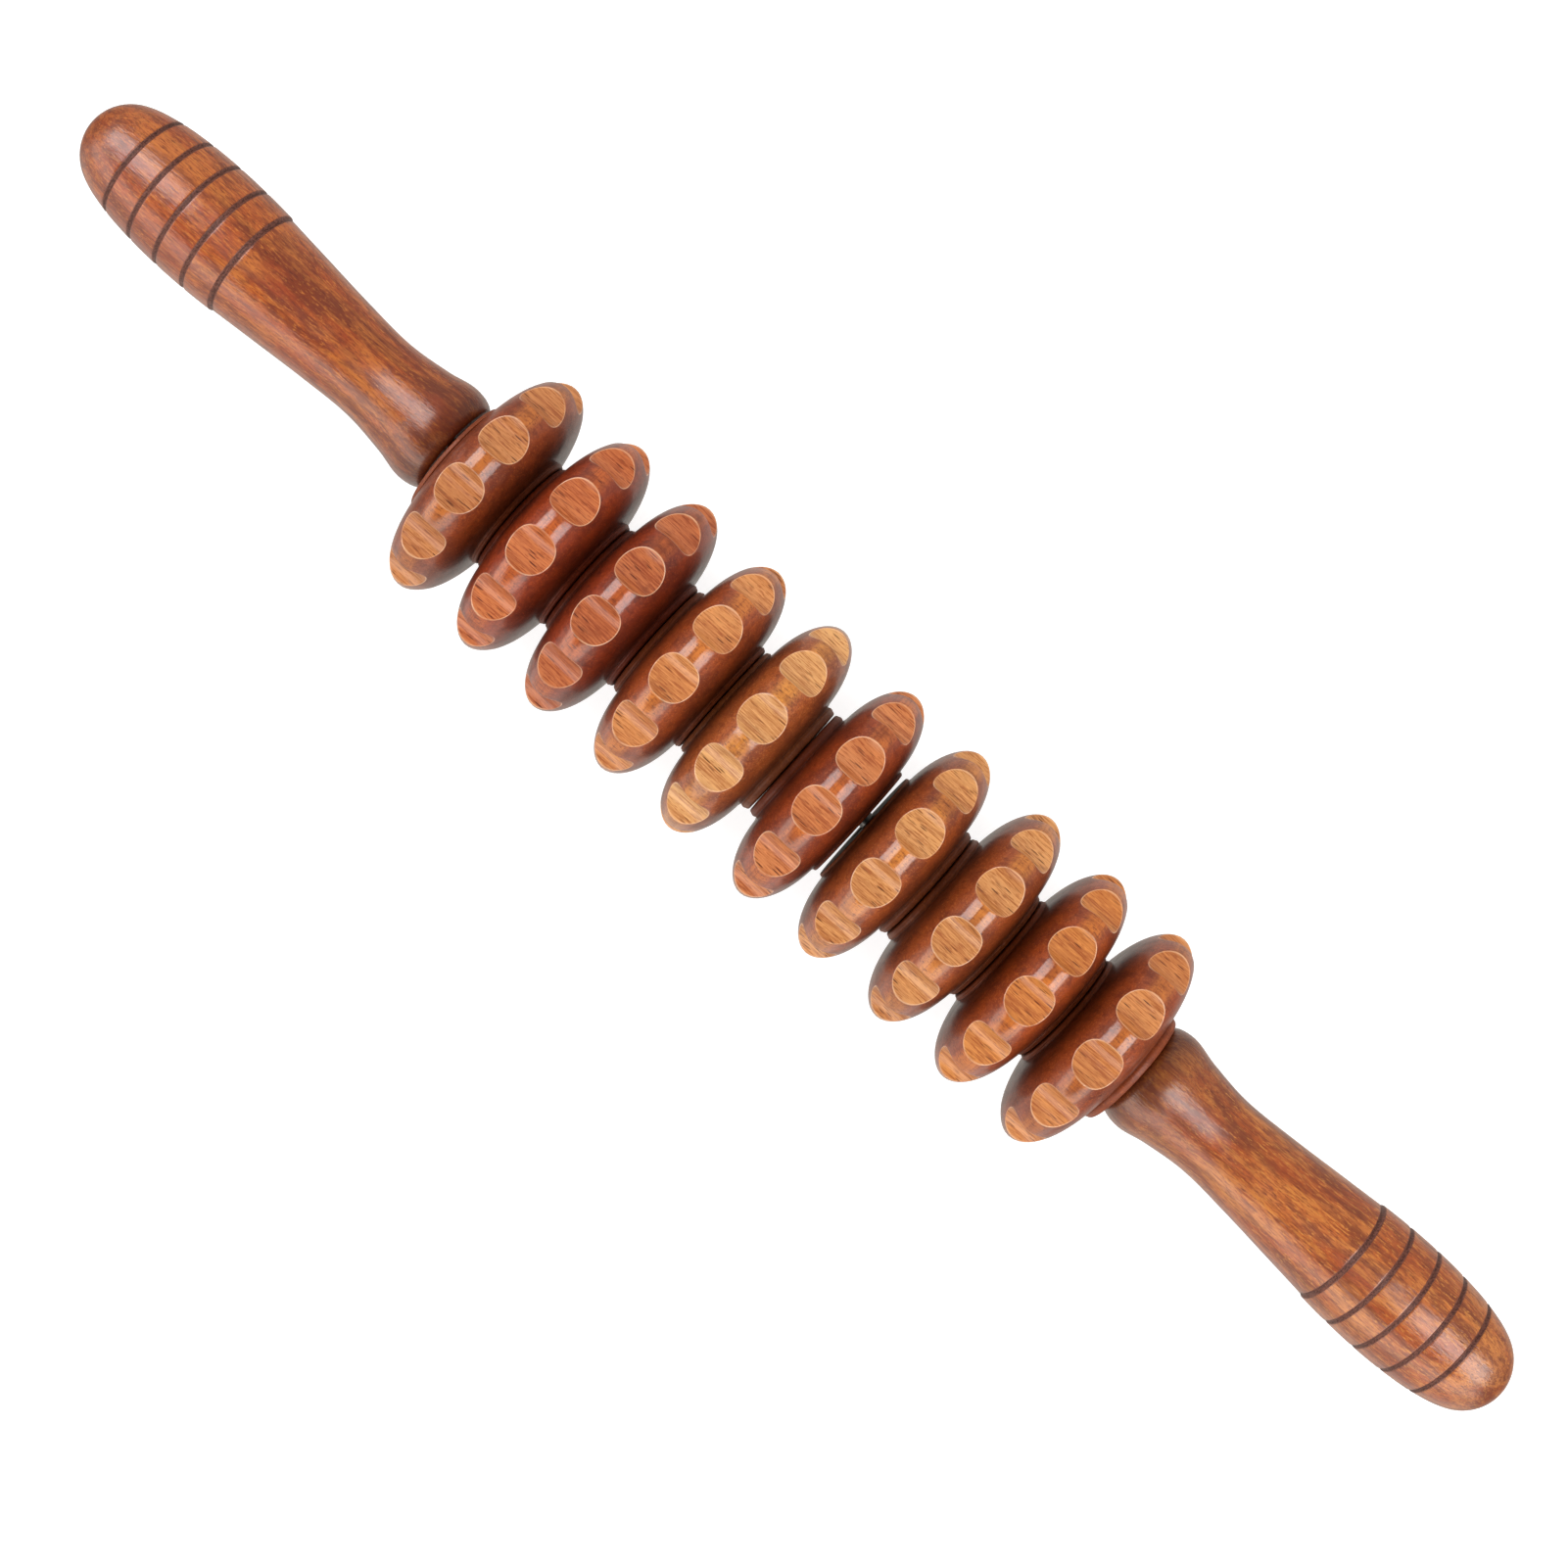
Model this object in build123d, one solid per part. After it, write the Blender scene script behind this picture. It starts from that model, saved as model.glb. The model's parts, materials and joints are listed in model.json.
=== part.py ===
from build123d import *
from math import asin, cos, degrees, radians, sin, sqrt
import os

# A wooden roller massager: two turned handles on a steel rod, with ten notched
# wooden rollers that spin on the rod between them. All lengths are in millimetres.
# X runs along the rod from the left handle to the right one and Z is up. The origin
# is on the axis that the rollers spin about, halfway between the handles' tips.

# Overall
OVERALL_LENGTH = 430.0
HANDLE_LENGTH = 110.5

# Steel rod. The rollers' bores are loose on it and hang to one side, so the rod and
# the handles lie off the rollers' axis.
ROD_RADIUS = 2.0
ROD_OFFSET_Y = 1.5
ROD_IN_HANDLE = 45.0
ROD_CHAMFER = 0.4

# Handles, as distance from the tip and radius
TIP_RADIUS = 12.0
TIP_ARC_LENGTH = 7.0
GRIP_POINTS = [(12.0, 12.6), (20.0, 13.95), (32.0, 14.6), (48.3, 13.95)]
SHANK_POINTS = [(48.3, 13.65), (60.0, 12.6), (74.0, 11.4), (87.0, 10.75), (98.0, 12.0), (105.0, 13.35)]
SHOULDER_POINTS = [(108.4, 12.75), (110.1, 11.7)]
END_FACE_RADIUS = 11.2
GLUE_GAP = 0.05
BORE_SPARE = 0.5
DRILL_POINT = 1.2

# Burnt grooves round each grip
GROOVE_COUNT = 5
FIRST_GROOVE = 15.7
GROOVE_PITCH = 8.15
GROOVE_WIDTH = 1.3
GROOVE_DEPTH = 0.5

# Rollers: where each rim stands on the rod, and how far round each one has come to
# rest, as the angle from straight up towards +Y of its nearest scallop
ROLLER_X = [-93.5, -73.0, -52.3, -31.3, -11.1, 11.0, 31.1, 52.6, 73.0, 93.2]
ROLLER_TURN = [-9.5, -8.5, -12.5, -8.0, 5.0, -9.0, -15.5, -10.5, -8.5, -9.0]
RIM_RADIUS = 30.0
LENS_CENTRE_RADIUS = 13.0
LENS_HALF_WIDTH = 8.6
FLANK_END_RADIUS = 15.6
BORE_RADIUS = 3.6
BORE_CHAMFER = 0.4

# Hub collars, one each side of a roller. Each reaches as far as its neighbour lets it.
COLLAR_STEP_X = 8.8
COLLAR_RADIUS = 14.75
COLLAR_CROWN = 0.25
COLLAR_ROUND = 0.65
END_PLAY = 0.3
LEFT_HANDLE_PLAY = 1.0
MIDDLE_PLAY = 1.2
MIDDLE_GAP = 6

# Scallops cut across each rim
SCALLOP_COUNT = 12
SCALLOP_DEPTH = 3.6
CUTTER_RADIUS = 5.9

CUTTER_LENGTH = 4 * LENS_HALF_WIDTH
TIP_X = OVERALL_LENGTH / 2
INNER_FACE_X = TIP_X - HANDLE_LENGTH


def radius_at(edge, distance):
    """The radius of an outline edge at a distance from the tip, by halving."""
    low, high = 0.0, 1.0
    for _ in range(40):
        middle = (low + high) / 2
        if (edge @ middle).X < distance:
            low = middle
        else:
            high = middle
    return (edge @ low).Y


def handle():
    """A turned handle with its tip at the origin, its inner end along +X and a blind bore."""
    start = (TIP_ARC_LENGTH, sqrt(TIP_RADIUS**2 - (TIP_RADIUS - TIP_ARC_LENGTH) ** 2))
    halfway = radians(45) / 2
    tip = ThreePointArc(
        (0, 0),
        (TIP_RADIUS * (1 - cos(halfway)), TIP_RADIUS * sin(halfway)),
        start,
    )
    grip = Spline(start, *GRIP_POINTS, tangents=[tip % 1, (1, -0.09)])
    shank = Spline(*SHANK_POINTS, tangents=[(1, -0.1), (1, 0)])
    shoulder = ThreePointArc(SHANK_POINTS[-1], *SHOULDER_POINTS)
    bore_radius = ROD_RADIUS + GLUE_GAP
    bore_end = HANDLE_LENGTH - ROD_IN_HANDLE - BORE_SPARE
    rest = Polyline(
        SHOULDER_POINTS[-1],
        (HANDLE_LENGTH, END_FACE_RADIUS),
        (HANDLE_LENGTH, bore_radius),
        (bore_end, bore_radius),
        (bore_end - DRILL_POINT, 0),
        (0, 0),
    )
    step = Line(GRIP_POINTS[-1], SHANK_POINTS[0])
    section = make_face([tip, grip, step, shank, shoulder, *rest.edges()])
    groove_radius = ((GROOVE_WIDTH / 2) ** 2 + GROOVE_DEPTH**2) / (2 * GROOVE_DEPTH)
    for i in range(GROOVE_COUNT):
        s = FIRST_GROOVE + GROOVE_PITCH * i
        ring = radius_at(grip, s) + groove_radius - GROOVE_DEPTH
        section -= Pos(s, ring) * Circle(groove_radius)
    return revolve(section, Axis.X)


def collar(flank_end, end_x):
    """The outline of one hub collar, from its flank's edge to its bore, and its last point."""
    side = 1 if end_x > 0 else -1
    rounding = min(COLLAR_ROUND, (abs(end_x) - COLLAR_STEP_X) / 2)
    crown_height = COLLAR_CROWN * rounding / COLLAR_ROUND
    root = (side * COLLAR_STEP_X, COLLAR_RADIUS)
    edge = (end_x - side * rounding, COLLAR_RADIUS)
    crown = ((root[0] + edge[0]) / 2, COLLAR_RADIUS + crown_height)
    face = (end_x, COLLAR_RADIUS - rounding)
    inset = rounding * (1 - cos(radians(45)))
    bend = (end_x - side * inset, COLLAR_RADIUS - inset)
    chamfer_end = (end_x - side * BORE_CHAMFER, BORE_RADIUS)
    outline = [
        Line(flank_end, root),
        ThreePointArc(root, crown, edge),
        ThreePointArc(edge, bend, face),
        Line(face, (end_x, BORE_RADIUS + BORE_CHAMFER)),
        Line((end_x, BORE_RADIUS + BORE_CHAMFER), chamfer_end),
    ]
    return outline, chamfer_end


def roller(left_end, right_end, turn):
    """A lens-shaped roller about the origin, with its scallops turned by an angle."""
    lens_height = RIM_RADIUS - LENS_CENTRE_RADIUS
    flank_angle = degrees(asin((FLANK_END_RADIUS - LENS_CENTRE_RADIUS) / lens_height))
    lens = EllipticalCenterArc(
        (0, LENS_CENTRE_RADIUS),
        LENS_HALF_WIDTH,
        lens_height,
        start_angle=flank_angle,
        arc_size=180 - 2 * flank_angle,
    )
    right_outline, right_bore = collar(lens @ 0, right_end)
    left_outline, left_bore = collar(lens @ 1, left_end)
    outline = [lens, *left_outline, *right_outline, Line(left_bore, right_bore)]
    body = revolve(make_face(outline), Axis.X)
    cutter_ring = RIM_RADIUS - SCALLOP_DEPTH + CUTTER_RADIUS
    for i in range(SCALLOP_COUNT):
        angle = radians(turn + 360 / SCALLOP_COUNT * i)
        place = Pos(0, cutter_ring * sin(angle), cutter_ring * cos(angle))
        body -= place * Rot(0, 90, 0) * Cylinder(CUTTER_RADIUS, CUTTER_LENGTH)
    return body


def rollers():
    """The ten rollers in place, by node name."""
    count = len(ROLLER_X)
    plays = [LEFT_HANDLE_PLAY] + [END_PLAY] * count
    plays[MIDDLE_GAP] = MIDDLE_PLAY
    found = {}
    for i, x in enumerate(ROLLER_X):
        before = ROLLER_X[i - 1] if i > 0 else None
        after = ROLLER_X[i + 1] if i < count - 1 else None
        if before is None:
            left_end = -INNER_FACE_X + plays[0] - x
        else:
            left_end = (before - x + plays[i]) / 2
        if after is None:
            right_end = INNER_FACE_X - plays[-1] - x
        else:
            right_end = (after - x - plays[i + 1]) / 2
        found[f"roller_{i + 1:02d}"] = Pos(x, 0, 0) * roller(left_end, right_end, ROLLER_TURN[i])
    return found


def core_rod():
    """The straight steel rod, chamfered at both ends."""
    length = 2 * (INNER_FACE_X + ROD_IN_HANDLE)
    rod = Rot(0, 90, 0) * Cylinder(ROD_RADIUS, length)
    return chamfer(rod.edges().filter_by(GeomType.CIRCLE), ROD_CHAMFER)


on_rod = Pos(0, ROD_OFFSET_Y, 0)
turned_handle = handle()
nodes = {
    "core_rod": on_rod * core_rod(),
    "left_handle": on_rod * Pos(-TIP_X, 0, 0) * turned_handle,
    "right_handle": on_rod * Pos(TIP_X, 0, 0) * Rot(0, 0, 180) * turned_handle,
    **rollers(),
}

os.makedirs("parts", exist_ok=True)
for name, solid in nodes.items():
    export_step(solid, f"parts/{name}.step")
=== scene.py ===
import json
from math import acos, cos, hypot, pi, radians, sin, sqrt

import bmesh
import bpy
from mathutils import Matrix, Vector


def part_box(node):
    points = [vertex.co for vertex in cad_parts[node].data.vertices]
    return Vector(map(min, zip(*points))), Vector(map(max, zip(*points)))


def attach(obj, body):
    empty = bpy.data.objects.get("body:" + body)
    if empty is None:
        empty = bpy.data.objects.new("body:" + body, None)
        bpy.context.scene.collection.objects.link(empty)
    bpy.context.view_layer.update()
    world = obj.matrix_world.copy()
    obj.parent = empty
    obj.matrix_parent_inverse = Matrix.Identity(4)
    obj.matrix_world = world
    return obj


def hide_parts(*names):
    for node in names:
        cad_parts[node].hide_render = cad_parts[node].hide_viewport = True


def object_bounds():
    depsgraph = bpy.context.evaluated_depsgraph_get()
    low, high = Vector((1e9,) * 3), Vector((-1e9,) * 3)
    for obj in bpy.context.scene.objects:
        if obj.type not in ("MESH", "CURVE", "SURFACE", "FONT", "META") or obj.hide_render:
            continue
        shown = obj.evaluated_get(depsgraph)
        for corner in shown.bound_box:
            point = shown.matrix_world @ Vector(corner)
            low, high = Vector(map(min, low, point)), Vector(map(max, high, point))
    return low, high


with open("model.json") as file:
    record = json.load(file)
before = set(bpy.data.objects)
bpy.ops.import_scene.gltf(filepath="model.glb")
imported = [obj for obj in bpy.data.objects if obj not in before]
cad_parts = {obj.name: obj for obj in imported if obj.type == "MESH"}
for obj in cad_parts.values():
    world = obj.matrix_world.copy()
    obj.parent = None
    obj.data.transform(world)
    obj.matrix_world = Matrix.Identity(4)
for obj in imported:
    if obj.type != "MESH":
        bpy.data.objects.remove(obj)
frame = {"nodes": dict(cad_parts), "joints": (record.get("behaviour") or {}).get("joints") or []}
cad_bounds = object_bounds()

# A wooden roller massager lying on its rollers. Shapes are worked out in millimetres
# in the frame's own axes, with X along the rod, and scaled to metres as meshes are made.
MM = 0.001

# Vertices this near each other, in metres, are joined, and edges this short are removed.
WELD_DISTANCE = 1e-7
SHORTEST_EDGE = 1e-8
# How far the smooth shading leans towards the larger faces. 50 is even.
FACE_AREA_WEIGHT = 60

# Rollers
RIM_RADIUS = 30.0
LENS_CENTRE = 13.0
LENS_HALF_WIDTH = 8.6
FLANK_END_RADIUS = 15.6
BORE_RADIUS = 3.6
BORE_CHAMFER = 0.4
COLLAR_STEP_X = 8.8
COLLAR_RADIUS = 14.75
COLLAR_CROWN = 0.25
COLLAR_ROUND = 0.65
COLLAR_ROUND_ROWS = 5
COLLAR_CROWN_ROWS = 6
# The eased crease where a flank meets its collar
CREASE = 0.12
# An end face stands out a little between rings this far from the collar's edge and the bore.
FACE_BULGE = 0.12
FACE_INSET = 3.0
BORE_INSET = 2.0
# The gap that is open enough to see the rod, counted from the left handle, has flat faces.
MIDDLE_GAP = 6
SCALLOP_COUNT = 12
SCALLOP_DEPTH = 3.6
CUTTER_RADIUS = 5.9
ROLLER_TURN = [-9.5, -8.5, -12.5, -8.0, 5.0, -9.0, -15.5, -10.5, -8.5, -9.0]

# How finely a roller is meshed. A sector is the part of a rim that holds one scallop.
SIDE_STEPS = 12
BLOCK_ANGLE = radians(46)
INNER_RINGS = [0.2, 0.4, 0.58, 0.74, 0.87]
OUTER_RINGS = [0.1, 0.25, 0.45, 0.7, 1.0]
EASE_STEPS = 4
EASE = 0.2
FLANK_ROWS = 11

# Handles, as distance from the tip and radius, with each curve's slope at its free end and
# how many rows of vertices it has to a millimetre
HANDLE_LENGTH = 110.5
TIP_RADIUS = 12.0
TIP_ARC_LENGTH = 7.0
GRIP_POINTS = [(12.0, 12.6), (20.0, 13.95), (32.0, 14.6), (48.3, 13.95)]
SHANK_POINTS = [
    (48.3, 13.65),
    (60.0, 12.6),
    (74.0, 11.4),
    (87.0, 10.75),
    (98.0, 12.0),
    (105.0, 13.35),
]
GRIP_END_SLOPE = -0.09
GRIP_ROWS_PER_MM = 0.9
SHANK_START_SLOPE = -0.1
SHANK_ROWS_PER_MM = 0.7
TIP_ROWS = 12
SHOULDER_ROWS = 8
END_FACE_RADIUS = 11.2
END_FACE_EDGE = 0.3
HANDLE_BORE_RADIUS = 2.05
HANDLE_BORE_CHAMFER = 0.2
HANDLE_BORE_END = 65.0
DRILL_POINT = 1.2
DARKEN_START = 87.0
TIP_DARKEN_END = 14.0
GROOVE_COUNT = 5
FIRST_GROOVE = 15.7
GROOVE_PITCH = 8.15
GROOVE_WIDTH = 1.3
GROOVE_DEPTH = 0.5
# A groove's floor, as shares of its width and depth, and how deep the floor's edges lie
GROOVE_FLOOR_WIDTH = 0.82
GROOVE_FLOOR_FALL = 0.88
GROOVE_FLOOR_EDGE = 0.06
GROOVE_FLOOR_ROWS = 4
# Its worn lip: how far out each row is in lip widths, how far down, and its darkening and groove
# marks
GROOVE_LIP = 0.14
LIP_ROWS = [(0.0, 0.05, 0.6, 0.5), (0.8, 0.01, 0.15, 0.1), (2.0, 0.0, 0.0, 0.0)]
LIP_CLEARANCE = 2.2
HANDLE_COLUMNS = 144

LENS_HEIGHT = RIM_RADIUS - LENS_CENTRE
CUTTER_RING = RIM_RADIUS - SCALLOP_DEPTH + CUTTER_RADIUS
HALF_SECTOR = pi / SCALLOP_COUNT
SCALLOP_HALF_ANGLE = acos(
    (CUTTER_RING**2 + RIM_RADIUS**2 - CUTTER_RADIUS**2) / (2 * CUTTER_RING * RIM_RADIUS)
)
FLANK_END_ANGLE = acos((FLANK_END_RADIUS - LENS_CENTRE) / LENS_HEIGHT)


class Shape:
    """Vertices, faces and per-vertex marks of one mesh being made."""

    def __init__(self, marks):
        self.points = []
        self.faces = []
        self.marks = {name: [] for name in marks}

    def add(self, point, **marks):
        self.points.append(point)
        for name, values in self.marks.items():
            values.append(marks.get(name, 0.0))
        return len(self.points) - 1

    def strip(self, first, second, closed=True):
        """Quads between two rows of vertices of the same length."""
        count = len(first)
        for i in range(count if closed else count - 1):
            j = (i + 1) % count
            self.faces.append((first[i], first[j], second[j], second[i]))

    def build(self, name):
        """A smooth-shaded mesh object, with shared borders welded and the marks as attributes."""
        mesh = bpy.data.meshes.new(name)
        mesh.from_pydata([[c * MM for c in p] for p in self.points], [], self.faces)
        for mark, values in self.marks.items():
            layer = mesh.attributes.new(mark, "FLOAT", "POINT")
            layer.data.foreach_set("value", values)
        piece = bpy.data.objects.new(name, mesh)
        bpy.context.scene.collection.objects.link(piece)
        weld(mesh)
        mesh.polygons.foreach_set("use_smooth", [True] * len(mesh.polygons))
        normals = piece.modifiers.new("normals", "WEIGHTED_NORMAL")
        normals.weight = FACE_AREA_WEIGHT
        return piece


def weld(mesh):
    """Joins vertices that lie together and turns every face outwards."""
    work = bmesh.new()
    work.from_mesh(mesh)
    bmesh.ops.remove_doubles(work, verts=work.verts, dist=WELD_DISTANCE)
    bmesh.ops.dissolve_degenerate(work, edges=work.edges, dist=SHORTEST_EDGE)
    bmesh.ops.recalc_face_normals(work, faces=work.faces)
    work.to_mesh(mesh)
    work.free()


def around(x, radius, angle):
    """The point at an angle from straight up towards +Y, about the X axis."""
    return (x, radius * sin(angle), radius * cos(angle))


def lens_profile(tilt):
    """Distance along the axis and radius of the lens outline, tilt radians past the crest."""
    return LENS_HALF_WIDTH * sin(tilt), LENS_CENTRE + LENS_HEIGHT * cos(tilt)


def lens_steepness(tilt):
    """How much a lens flank faces along the axis, from 0 on the crest to nearly 1 at the hub."""
    along = sin(tilt) / LENS_HALF_WIDTH
    outward = cos(tilt) / LENS_HEIGHT
    return abs(along) / hypot(along, outward)


def scallop_radius(angle):
    """The radius of the scallop's floor, an angle away from its middle."""
    return CUTTER_RING * cos(angle) - sqrt(CUTTER_RADIUS**2 - (CUTTER_RING * sin(angle)) ** 2)


def bezier(a, b, c, share):
    """A point of the curve that leaves a for b and arrives at c."""
    keep = 1 - share
    shares = (keep * keep, 2 * keep * share, share * share)
    return tuple(shares[0] * p + shares[1] * q + shares[2] * r for p, q, r in zip(a, b, c))


def add_sector(shape, x, middle):
    """One scallop with the part of the rim about it, from one half sector to the other."""
    count = 4 * SIDE_STEPS
    rings = []
    centre = shape.add(around(x, scallop_radius(0), middle), cut=1.0)
    columns = []
    for k in range(count):
        turn = 2 * pi * k / count
        angle_out = SCALLOP_HALF_ANGLE * cos(turn)
        height = (scallop_radius(angle_out) - LENS_CENTRE) / LENS_HEIGHT
        tilt_out = acos(min(1.0, height)) * (1 if sin(turn) >= 0 else -1)
        # the matching point on the sector's border, evenly spaced along each of its sides
        side, step = divmod(k + SIDE_STEPS // 2, SIDE_STEPS)
        along = 2 * step / SIDE_STEPS - 1
        across_sides = [(1, along), (-along, 1), (-1, -along), (along, -1)]
        border = across_sides[side % 4]
        angle_end = border[0] * HALF_SECTOR
        tilt_end = border[1] * BLOCK_ANGLE
        columns.append((angle_out, tilt_out, angle_end, tilt_end))
    for k, (angle_out, tilt_out, angle_end, tilt_end) in enumerate(columns):
        x_out, radius_out = lens_profile(tilt_out)
        reach = hypot(x_out, RIM_RADIUS * angle_out)
        inner_end = 1 - EASE / reach
        x_end, radius_end = lens_profile(tilt_end)
        span = hypot(x_end - x_out, radius_end - radius_out, RIM_RADIUS * (angle_end - angle_out))
        outer_start = EASE / span

        def floor_at(share):
            angle = angle_out * share
            return around(x + x_out * share, scallop_radius(angle), middle + angle)

        def rim_at(share):
            tilt = tilt_out + (tilt_end - tilt_out) * share
            angle = angle_out + (angle_end - angle_out) * share
            along_x, radius = lens_profile(tilt)
            return around(x + along_x, radius, middle + angle), lens_steepness(tilt)

        column = []
        for share in INNER_RINGS:
            column.append(shape.add(floor_at(share * inner_end), cut=1.0))
        inner = floor_at(inner_end)
        corner = around(x + x_out, radius_out, middle + angle_out)
        outer, steepness = rim_at(outer_start)
        for i in range(EASE_STEPS + 1):
            share = i / EASE_STEPS
            edge = 1 - abs(2 * share - 1)
            marks = {"cut": 1.0 - share, "rim": edge, "steep": steepness * share}
            column.append(shape.add(bezier(inner, corner, outer, share), **marks))
        for share in OUTER_RINGS:
            point, steepness = rim_at(outer_start + (1 - outer_start) * share)
            column.append(shape.add(point, steep=steepness))
        rings.append(column)
    for k in range(count):
        here, after = rings[k], rings[(k + 1) % count]
        shape.faces.append((centre, here[0], after[0]))
        for a in range(len(here) - 1):
            shape.faces.append((here[a], here[a + 1], after[a + 1], after[a]))


def collar_profile(end_x, bulge):
    """A hub collar's outline past its flank, for a right-hand end: (x, radius, painted shade and
    dirt, hub) rows.
    """
    rounding = min(COLLAR_ROUND, (end_x - COLLAR_STEP_X) / 2)
    crown_height = COLLAR_CROWN * rounding / COLLAR_ROUND
    edge_x = end_x - rounding
    x_flank, _ = lens_profile(FLANK_END_ANGLE)
    # The third value is painted shade with a little dirt: dark in the crease where the flank meets
    # the collar, fading over the crown, darker again towards the edge that faces the next roller,
    # and darkest on the end face and in the bore.
    rows = [
        (x_flank + CREASE / 4, FLANK_END_RADIUS - CREASE, 0.3, 0.0),
        (COLLAR_STEP_X - CREASE * 2 / 3, COLLAR_RADIUS + CREASE, 0.9, 0.5),
        (COLLAR_STEP_X, COLLAR_RADIUS, 0.9, 1.0),
    ]
    for i in range(1, COLLAR_CROWN_ROWS):
        share = i / COLLAR_CROWN_ROWS
        crown = crown_height * (1 - (2 * share - 1) ** 2)
        soil = max(0.0, 0.6 - 2.5 * share)
        x = COLLAR_STEP_X + (edge_x - COLLAR_STEP_X) * share
        rows.append((x, COLLAR_RADIUS + crown, soil, 1.0))
    for i in range(COLLAR_ROUND_ROWS + 1):
        share = i / COLLAR_ROUND_ROWS
        bend = pi / 2 * share
        x = edge_x + rounding * sin(bend)
        rows.append((x, COLLAR_RADIUS - rounding * (1 - cos(bend)), 0.7 * share, 1.0))
    face = [
        (end_x + bulge, COLLAR_RADIUS - FACE_INSET, 0.7),
        (end_x + bulge, BORE_RADIUS + BORE_INSET, 0.7),
        (end_x, BORE_RADIUS + BORE_CHAMFER, 0.8),
        (end_x - BORE_CHAMFER, BORE_RADIUS, 1.0),
    ]
    return rows + [(*row, 1.0) for row in face]


def roller(name, x, ends, bulges, turn):
    """A lens-shaped roller on the X axis with twelve scallops in its rim and a bore."""
    shape = Shape(["cut", "rim", "steep", "soil", "hub"])
    for i in range(SCALLOP_COUNT):
        add_sector(shape, x, turn + 2 * HALF_SECTOR * i)
    columns = SCALLOP_COUNT * SIDE_STEPS
    angles = [turn - HALF_SECTOR + 2 * pi * i / columns for i in range(columns)]
    bores = []
    for side, end, bulge in zip((-1, 1), ends, bulges):
        rows = []
        for i in range(FLANK_ROWS + 1):
            tilt = BLOCK_ANGLE + (FLANK_END_ANGLE - BLOCK_ANGLE) * i / FLANK_ROWS
            along, radius = lens_profile(tilt)
            marks = {"steep": lens_steepness(tilt)}
            rows.append([shape.add(around(x + side * along, radius, a), **marks) for a in angles])
        for along, radius, soil, hub in collar_profile(end, bulge):
            marks = {"steep": 0.85, "soil": soil, "hub": hub}
            rows.append([shape.add(around(x + side * along, radius, a), **marks) for a in angles])
        for first, second in zip(rows, rows[1:]):
            shape.strip(first, second)
        bores.append(rows[-1])
    shape.strip(bores[0], bores[1])
    return shape.build(name)


def smooth_path(points, rows_per_mm, start_slope, end_slope):
    """Points along a curve through the given ones, as Hermite spans with matched slopes."""
    slopes = [start_slope]
    for before, after in zip(points, points[2:]):
        slopes.append((after[1] - before[1]) / (after[0] - before[0]))
    slopes.append(end_slope)
    path = [points[0]]
    for i in range(len(points) - 1):
        (x0, y0), (x1, y1) = points[i], points[i + 1]
        span = x1 - x0
        count = max(1, round(span * rows_per_mm))
        for k in range(1, count + 1):
            u = k / count
            y = (
                y0 * (1 + 2 * u) * (1 - u) ** 2
                + slopes[i] * span * u * (1 - u) ** 2
                + y1 * u * u * (3 - 2 * u)
                + slopes[i + 1] * span * u * u * (u - 1)
            )
            path.append((x0 + span * u, y))
    return path


def radius_on(path, distance):
    """The radius of a path at a distance from the tip, between its nearest points."""
    for (x0, y0), (x1, y1) in zip(path, path[1:]):
        if x0 <= distance <= x1 and x1 > x0:
            return y0 + (y1 - y0) * (distance - x0) / (x1 - x0)
    return path[-1][1]


def handle_soil(distance):
    """How much darker the wood is made towards the tip and towards the shoulder, where it is
    darkest.
    """
    shoulder = max(0.0, (distance - DARKEN_START) / (HANDLE_LENGTH - DARKEN_START))
    tip = max(0.0, 1 - distance / TIP_DARKEN_END)
    return 0.7 * shoulder**1.3 + 0.3 * tip


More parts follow.
